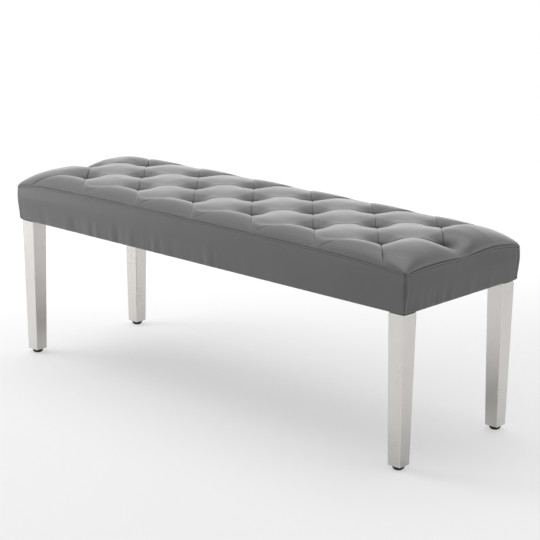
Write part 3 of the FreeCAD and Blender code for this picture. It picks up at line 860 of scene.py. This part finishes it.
def stud_rings(low, head_radius, high):
    """Radii, all round, and levels of a stud's rings, from its head up its thread."""
    head_top = low + HEAD_HEIGHT
    inner = head_radius - HEAD_CHAMFER
    head = [(HEAD_CENTRE, low), (inner, low), (head_radius, low + HEAD_CHAMFER),
            (head_radius, head_top - HEAD_CHAMFER), (inner, head_top)]
    rings = [(np.full(STUD_SIDES, radius), level) for radius, level in head]
    around = np.arange(STUD_SIDES) / STUD_SIDES
    for level in np.arange(head_top, high, THREAD_PITCH / THREAD_STEPS):
        turn = (level / THREAD_PITCH - around) % 1
        taper = TIP_TAPER * (1 - min(1.0, (high - level) / TIP_LENGTH))
        rings.append((THREAD_CREST - THREAD_DEPTH * np.abs(2 * turn - 1) - taper, level))
    return rings


def make_stud(corner, material):
    """Threaded foot stud with its captive head."""
    low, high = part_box("foot_stud_" + corner)
    middle = (low + high) / 2
    rings = stud_rings(low.z, (high.x - low.x) / 2, high.z)
    angles = 2 * math.pi * np.arange(STUD_SIDES) / STUD_SIDES
    points = []
    for radius, level in rings:
        x = middle.x + radius * np.cos(angles)
        y = middle.y + radius * np.sin(angles)
        points.append(np.stack([x, y, np.full(STUD_SIDES, level)], axis=1))
    faces = grid_faces(len(rings), STUD_SIDES, closed=True) + end_caps(len(rings), STUD_SIDES)
    stud = new_object("thread_" + corner, np.concatenate(points), faces, body="stud_" + corner)
    finish_piece(stud, material, "zinc_steel", "foot_stud_" + corner)


# Shader tools

def add_node(tree, kind, inputs=None, **settings):
    """Adds a node; inputs are values, or sockets to link from."""
    made = tree.nodes.new(kind)
    for key, value in settings.items():
        setattr(made, key, value)
    for key, value in (inputs or {}).items():
        if isinstance(value, bpy.types.NodeSocket):
            tree.links.new(value, made.inputs[key])
        else:
            made.inputs[key].default_value = value
    return made


def ranged(tree, value, low, high, start=0.0, end=1.0, **settings):
    """Socket that goes from low to high as the value goes from start to end."""
    inputs = {"Value": value, "From Min": start, "From Max": end, "To Min": low, "To Max": high}
    return add_node(tree, "ShaderNodeMapRange", inputs, **settings).outputs[0]


def rough_range(tree, value, low, high):
    """Roughness that follows a noise, whose values mostly lie between 0.3 and 0.7."""
    return ranged(tree, value, low, high, start=0.3, end=0.7)


def mixed(tree, factor, first, second):
    """Colour between two; the mix node lists its colour sockets after those of other kinds."""
    inputs = {"Factor": factor, 6: (*first, 1), 7: (*second, 1)}
    return add_node(tree, "ShaderNodeMix", inputs, data_type="RGBA").outputs[2]


def feed(tree, skin, **sockets):
    """Links sockets to the shader's inputs, named with _ for a space."""
    for name, socket in sockets.items():
        tree.links.new(socket, skin.inputs[name.replace("_", " ")])


def new_group(name, inputs, outputs):
    """Shader group, with what goes in and what comes out."""
    tree = bpy.data.node_groups.new(name, "ShaderNodeTree")
    for label, kind in inputs:
        tree.interface.new_socket(label, in_out="INPUT", socket_type="NodeSocket" + kind)
    for label, kind in outputs:
        tree.interface.new_socket(label, in_out="OUTPUT", socket_type="NodeSocket" + kind)
    return tree, tree.nodes.new("NodeGroupInput").outputs, tree.nodes.new("NodeGroupOutput").inputs


def speckle_group():
    """Noise over a surface, stretched along its axes, that varies a colour and raises a bump."""
    tree, given, result = new_group(
        "speckle",
        [("Vector", "Vector"), ("Stretch", "Vector"), ("Scale", "Float"), ("Color", "Color"),
         ("Spread", "Float"), ("Depth", "Float"), ("Normal", "Vector")],
        [("Color", "Color"), ("Value", "Float"), ("Normal", "Vector")])
    scaled = add_node(tree, "ShaderNodeVectorMath", {0: given["Vector"], 1: given["Stretch"]},
                      operation="MULTIPLY")
    noise = add_node(tree, "ShaderNodeTexNoise",
                     {"Vector": scaled.outputs[0], "Scale": given["Scale"], "Detail": 4.0, "Roughness": 0.6})
    value = noise.outputs["Fac"]
    swing = add_node(tree, "ShaderNodeMath", {0: value, 1: 0.5}, operation="SUBTRACT")
    gain = add_node(tree, "ShaderNodeMath", {0: swing.outputs[0], 1: given["Spread"], 2: 1.0},
                    operation="MULTIPLY_ADD")
    colour = add_node(tree, "ShaderNodeVectorMath", {0: given["Color"], "Scale": gain.outputs[0]},
                      operation="SCALE")
    bump = add_node(tree, "ShaderNodeBump", {"Strength": 1.0, "Distance": given["Depth"], "Height": value,
                                            "Normal": given["Normal"]})
    tree.links.new(colour.outputs[0], result["Color"])
    tree.links.new(value, result["Value"])
    tree.links.new(bump.outputs[0], result["Normal"])


def speckled(tree, place, colour, scale, spread, depth=0.0, stretch=(1, 1, 1), normal=None):
    """Places the speckle group in a material; the colour is three numbers or a socket."""
    if not isinstance(colour, bpy.types.NodeSocket):
        colour = (*colour, 1)
    if normal is None:
        normal = tree.nodes.new("ShaderNodeNewGeometry").outputs["Normal"]
    inputs = {"Vector": place, "Stretch": stretch, "Scale": scale, "Color": colour, "Spread": spread,
              "Depth": depth, "Normal": normal}
    return add_node(tree, "ShaderNodeGroup", inputs, node_tree=bpy.data.node_groups["speckle"]).outputs


def blank_material(name):
    """New material, with its nodes, its shader and the place on the surface."""
    material = bpy.data.materials.new(name)
    material.use_nodes = True
    tree = material.node_tree
    place = tree.nodes.new("ShaderNodeTexCoord").outputs["Object"]
    return material, tree, tree.nodes["Principled BSDF"], place


# Materials

def leatherette():
    """Smooth coated cloth: a fine pebble grain and slight cloudiness, with painted shade darkening the
    hollows round the tufts, which are also duller.
    """
    material, tree, skin, place = blank_material("grey_leatherette")
    cells = add_node(tree, "ShaderNodeTexVoronoi", {"Vector": place, "Scale": 1100.0, "Randomness": 1.0},
                     feature="SMOOTH_F1")
    pebble = add_node(tree, "ShaderNodeBump", {"Strength": 0.35, "Distance": 0.06 * MM,
                                              "Height": cells.outputs["Distance"]}, invert=True)
    cloud = speckled(tree, place, (0.105, 0.105, 0.1045), scale=9.0, spread=0.12, depth=0.25 * MM,
                     normal=pebble.outputs[0])
    # Painted shade: the base colour falls to 15 % of itself in the hollows round the tufts, standing in for
    # their shadow; the roughness rises there as well.
    hollow_shade_mask = add_node(tree, "ShaderNodeAttribute", attribute_name="hollow_shade_mask").outputs["Fac"]
    painted_shade = ranged(tree, hollow_shade_mask, 1.0, 0.15)
    shade_painted_colour = add_node(tree, "ShaderNodeVectorMath", {0: cloud["Color"], "Scale": painted_shade}, operation="SCALE")
    rough = rough_range(tree, cloud["Value"], 0.31, 0.39)
    dull = add_node(tree, "ShaderNodeMath", {0: hollow_shade_mask, 1: 0.5, 2: rough}, operation="MULTIPLY_ADD")
    feed(tree, skin, Base_Color=shade_painted_colour.outputs[0], Normal=cloud["Normal"], Roughness=dull.outputs[0])
    return material


def plain_material(name, colour, scale, spread, depth, rough, metallic=0.0, stretch=(1, 1, 1)):
    """Material with one speckle layer and a roughness that varies with it."""
    material, tree, skin, place = blank_material(name)
    layer = speckled(tree, place, colour, scale, spread, depth, stretch)
    feed(tree, skin, Base_Color=layer["Color"], Normal=layer["Normal"],
         Roughness=rough_range(tree, layer["Value"], *rough))
    skin.inputs["Metallic"].default_value = metallic
    return material


def timber(name, stretch, light, dark):
    """Softwood with its growth rings drawn out along the piece."""
    material, tree, skin, place = blank_material(name)
    drawn = add_node(tree, "ShaderNodeVectorMath", {0: place, 1: stretch}, operation="MULTIPLY")
    rings = add_node(tree, "ShaderNodeTexWave", {"Vector": drawn.outputs[0], "Scale": 26.0, "Distortion": 5.0,
                                               "Detail": 3.0, "Detail Scale": 1.4})
    wood = mixed(tree, rings.outputs["Fac"], light, dark)
    fibre = speckled(tree, place, wood, scale=420.0, spread=0.35, depth=0.15 * MM, stretch=stretch)
    feed(tree, skin, Base_Color=fibre["Color"], Normal=fibre["Normal"],
         Roughness=rough_range(tree, fibre["Value"], 0.55, 0.75))
    return material


def plywood():
    """Thin layers seen on the edges, with the face grain along the panel."""
    material, tree, skin, place = blank_material("plywood")
    layers = add_node(tree, "ShaderNodeTexWave", {"Vector": place, "Scale": 105.0, "Distortion": 0.6},
                      bands_direction="Z")
    ply = mixed(tree, layers.outputs["Fac"], (0.56, 0.40, 0.23), (0.40, 0.26, 0.13))
    fibre = speckled(tree, place, ply, scale=300.0, spread=0.4, depth=0.15 * MM, stretch=(0.05, 1, 1))
    feed(tree, skin, Base_Color=fibre["Color"], Normal=fibre["Normal"])
    skin.inputs["Roughness"].default_value = 0.65
    return material


def brushed_steel():
    """Stainless steel brushed along the leg."""
    material, tree, skin, place = blank_material("brushed_leg_steel")
    cloud = speckled(tree, place, (0.67, 0.65, 0.625), scale=14.0, spread=0.04)
    lines = speckled(tree, place, cloud["Color"], scale=900.0, spread=0.06, stretch=(1, 1, 0.003))
    feed(tree, skin, Base_Color=lines["Color"], Roughness=rough_range(tree, cloud["Value"], 0.26, 0.32))
    skin.inputs["Metallic"].default_value = 1
    return material


def make_finishes():
    """Materials by slot, with two for pine, and the thread of the stitches."""
    return {
        "leatherette": leatherette(),
        # A real thread, but its near-black colour is partly painted shade, standing in for the dark shadow
        # line along the seam.
        "seam_thread_and_shade": plain_material("seam_thread_and_shade", (0.035, 0.035, 0.035), scale=3000.0, spread=0.4,
                                      depth=0.1 * MM, rough=(0.8, 0.95)),
        "padding": plain_material("padding", (0.80, 0.76, 0.66), scale=700.0, spread=0.15,
                                  depth=0.4 * MM, rough=(0.85, 0.95)),
        "dust_cloth": plain_material("dust_cloth", (0.012, 0.012, 0.013), scale=1600.0, spread=0.8,
                                     depth=0.15 * MM, rough=(0.8, 0.95)),
        "pine_along": timber("pine_along", (0.05, 1, 1), light=(0.60, 0.42, 0.23), dark=(0.45, 0.28, 0.13)),
        "pine_across": timber("pine_across", (1, 0.05, 1), light=(0.58, 0.41, 0.23), dark=(0.44, 0.28, 0.14)),
        "plywood": plywood(),
        "tie_cord": plain_material("tie_cord", (0.62, 0.58, 0.48), scale=2500.0, spread=0.6,
                                   depth=0.2 * MM, rough=(0.75, 0.9), stretch=(1, 1, 0.3)),
        "fibreboard": plain_material("fibreboard", (0.24, 0.13, 0.06), scale=900.0, spread=0.5,
                                     depth=0.1 * MM, rough=(0.6, 0.8)),
        "brushed_leg_steel": brushed_steel(),
        "plate_steel": plain_material("plate_steel", (0.66, 0.655, 0.64), scale=120.0, spread=0.12,
                                      depth=0.05 * MM, rough=(0.32, 0.45), metallic=1.0),
        "zinc_steel": plain_material("zinc_steel", (0.56, 0.57, 0.59), scale=260.0, spread=0.2,
                                     depth=0.03 * MM, rough=(0.3, 0.45), metallic=1.0),
        "foot_plastic": plain_material("foot_plastic", (0.018, 0.018, 0.019), scale=1300.0, spread=0.3,
                                       depth=0.08 * MM, rough=(0.42, 0.58)),
    }


def dress_nodes(finishes):
    """Gives every CAD node its material by its slot."""
    slots = {part["node"]: part["material_slot"] for part in frame["record"]["subparts"]}
    for node_name, node in nodes.items():
        finish = slots[node_name]
        if finish == "pine":
            finish = "pine_along" if node_name in LONG_RAILS else "pine_across"
        dress(node, finishes[finish])


# Stage

def floor_holes(tree, place):
    """1 on the floor, and 0 inside each foot's flat face."""
    pad_low, pad_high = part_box("foot_pad_back_right")
    foot = (pad_low + pad_high) / 2
    mirrored = add_node(tree, "ShaderNodeVectorMath", {0: place}, operation="ABSOLUTE")
    gap = add_node(tree, "ShaderNodeVectorMath", {0: mirrored.outputs[0], 1: (foot.x, foot.y, 0)},
                   operation="DISTANCE")
    whole = add_node(tree, "ShaderNodeMath", {0: gap.outputs["Value"], 1: FLOOR_HOLE},
                     operation="GREATER_THAN")
    return whole.outputs[0]


def floor_glow(tree, place, seen):
    """Glow for the camera alone, that grows behind the bench and keeps the shadows faint."""
    away = (-math.sin(VIEW_AZIMUTH), math.cos(VIEW_AZIMUTH), 0)
    behind = add_node(tree, "ShaderNodeVectorMath", {0: place, 1: away}, operation="DOT_PRODUCT")
    level = ranged(tree, behind.outputs["Value"], GLOW_NEAR, GLOW_FAR, GLOW_START, GLOW_END,
                   interpolation_type="SMOOTHSTEP")
    return add_node(tree, "ShaderNodeMath", {0: seen, 1: level}, operation="MULTIPLY").outputs[0]


def pale_floor():
    """Matt studio floor."""
    material, tree, skin, place = blank_material("pale_floor")
    ray = tree.nodes.new("ShaderNodeLightPath").outputs
    matt = ranged(tree, ray["Is Camera Ray"], FLOOR_BOUNCE, FLOOR_SEEN)
    shade = ranged(tree, ray["Is Glossy Ray"], matt, FLOOR_MIRRORED)
    grain = speckled(tree, place, shade, scale=30.0, spread=0.03)
    feed(tree, skin, Base_Color=grain["Color"], Alpha=floor_holes(tree, place),
         Emission_Strength=floor_glow(tree, place, ray["Is Camera Ray"]))
    skin.inputs["Emission Color"].default_value = (1, 1, 1, 1)
    skin.inputs["Roughness"].default_value = 0.8
    skin.inputs["Specular IOR Level"].default_value = 0.1
    return material


def make_floor():
    """Floor that the bench stands on."""
    corners = [(x * FLOOR_HALF, y * FLOOR_HALF, 0) for x, y in ((-1, -1), (1, -1), (1, 1), (-1, 1))]
    mesh = bpy.data.meshes.new("floor")
    mesh.from_pydata(corners, [], [(0, 1, 2, 3)])
    mesh.materials.append(pale_floor())
    floor = bpy.data.objects.new("floor", mesh)
    bpy.context.scene.collection.objects.link(floor)


def make_camera():
    """Camera at the photo's viewing angle."""
    level = math.cos(VIEW_ELEVATION)
    back = Vector((math.sin(VIEW_AZIMUTH) * level, -math.cos(VIEW_AZIMUTH) * level, math.sin(VIEW_ELEVATION)))
    right = Vector((math.cos(VIEW_AZIMUTH), math.sin(VIEW_AZIMUTH), 0))
    up = back.cross(right)
    right_rolled = right * math.cos(VIEW_ROLL) + up * math.sin(VIEW_ROLL)
    up_rolled = up * math.cos(VIEW_ROLL) - right * math.sin(VIEW_ROLL)
    data = bpy.data.cameras.new("camera")
    data.sensor_width = SENSOR
    data.lens = SENSOR * FOCAL_PIXELS / IMAGE_SIZE
    data.clip_end = CLIP_END
    camera = bpy.data.objects.new("camera", data)
    turn = Matrix((right_rolled, up_rolled, back)).transposed().to_4x4()
    camera.matrix_world = Matrix.Translation(VIEW_TARGET + back * VIEW_DISTANCE) @ turn
    bpy.context.scene.collection.objects.link(camera)
    bpy.context.scene.camera = camera


def add_lamp(data, towards, place=(0, 0, 0)):
    """Lamp at a place, with its back turned to a direction."""
    lamp = bpy.data.objects.new(data.name, data)
    lamp.location = place
    lamp.rotation_euler = Vector(towards).to_track_quat("Z", "Y").to_euler()
    bpy.context.scene.collection.objects.link(lamp)
    return lamp


def sun_light(name, towards, strength, softness):
    """Distant light that comes from the given direction."""
    data = bpy.data.lights.new(name, "SUN")
    data.energy = strength
    data.angle = math.radians(softness)
    add_lamp(data, towards)


def area_light(name, place, aim, size, power):
    """Panel of light aimed at a point, that doesn't show in reflections."""
    data = bpy.data.lights.new(name, "AREA")
    data.shape = "RECTANGLE"
    data.size, data.size_y = size
    data.energy = power
    lamp = add_lamp(data, Vector(place) - Vector(aim), place)
    lamp.visible_glossy = False


def make_lights():
    """Broad light from above, a low one from the left and two weak fills."""
    sun_light("overhead", towards=(-0.22, 0.20, 0.95), strength=1.2, softness=50)
    area_light("left_fill", place=(-3.2, -1.7, 0.15), aim=(-0.6, -0.2, 0.4), size=(0.6, 0.2), power=98)
    area_light("top_fill", place=(-1.3, -0.6, 1.9), aim=(-0.3, 0.0, 0.45), size=(0.9, 0.9), power=14)
    area_light("right_fill", place=(2.2, 0.4, 0.8), aim=(0.6, 0.0, 0.4), size=(0.8, 0.8), power=4)


def make_world():
    """White studio walls, that shine more near the horizon in reflections and light the bench softly."""
    world = bpy.data.worlds.new("studio")
    bpy.context.scene.world = world
    world.use_nodes = True
    tree = world.node_tree
    ray = tree.nodes.new("ShaderNodeLightPath").outputs
    way = tree.nodes.new("ShaderNodeTexCoord").outputs["Generated"]
    height = add_node(tree, "ShaderNodeSeparateXYZ", {0: way}).outputs["Z"]
    shine = ranged(tree, height, SHINE_LOW, SHINE_HIGH, SHINE_START, SHINE_END)
    soft = ranged(tree, height, SOFT_LOW, SOFT_HIGH)
    seen = ranged(tree, ray["Is Camera Ray"], soft, 1.0)
    level = ranged(tree, ray["Is Glossy Ray"], seen, shine)
    background = tree.nodes["Background"]
    background.inputs["Color"].default_value = (1, 1, 1, 1)
    tree.links.new(level, background.inputs["Strength"])


# Assembly

speckle_group()
finishes = make_finishes()
dress_nodes(finishes)
foam_points, foam_faces = make_top(finishes["leatherette"])
make_foam(foam_points, foam_faces, finishes["padding"])
for side_name, side_seed in PANEL_SEEDS.items():
    make_wadding(side_name, finishes["padding"])
    make_panel(side_name, side_seed, finishes["leatherette"])
make_stitches(finishes["seam_thread_and_shade"])
make_dust_cloth(finishes["dust_cloth"])
for corner_name in CORNERS:
    make_stud(corner_name, finishes["zinc_steel"])
make_floor()
make_camera()
make_lights()
make_world()
bpy.context.scene.view_settings.view_transform = "Standard"
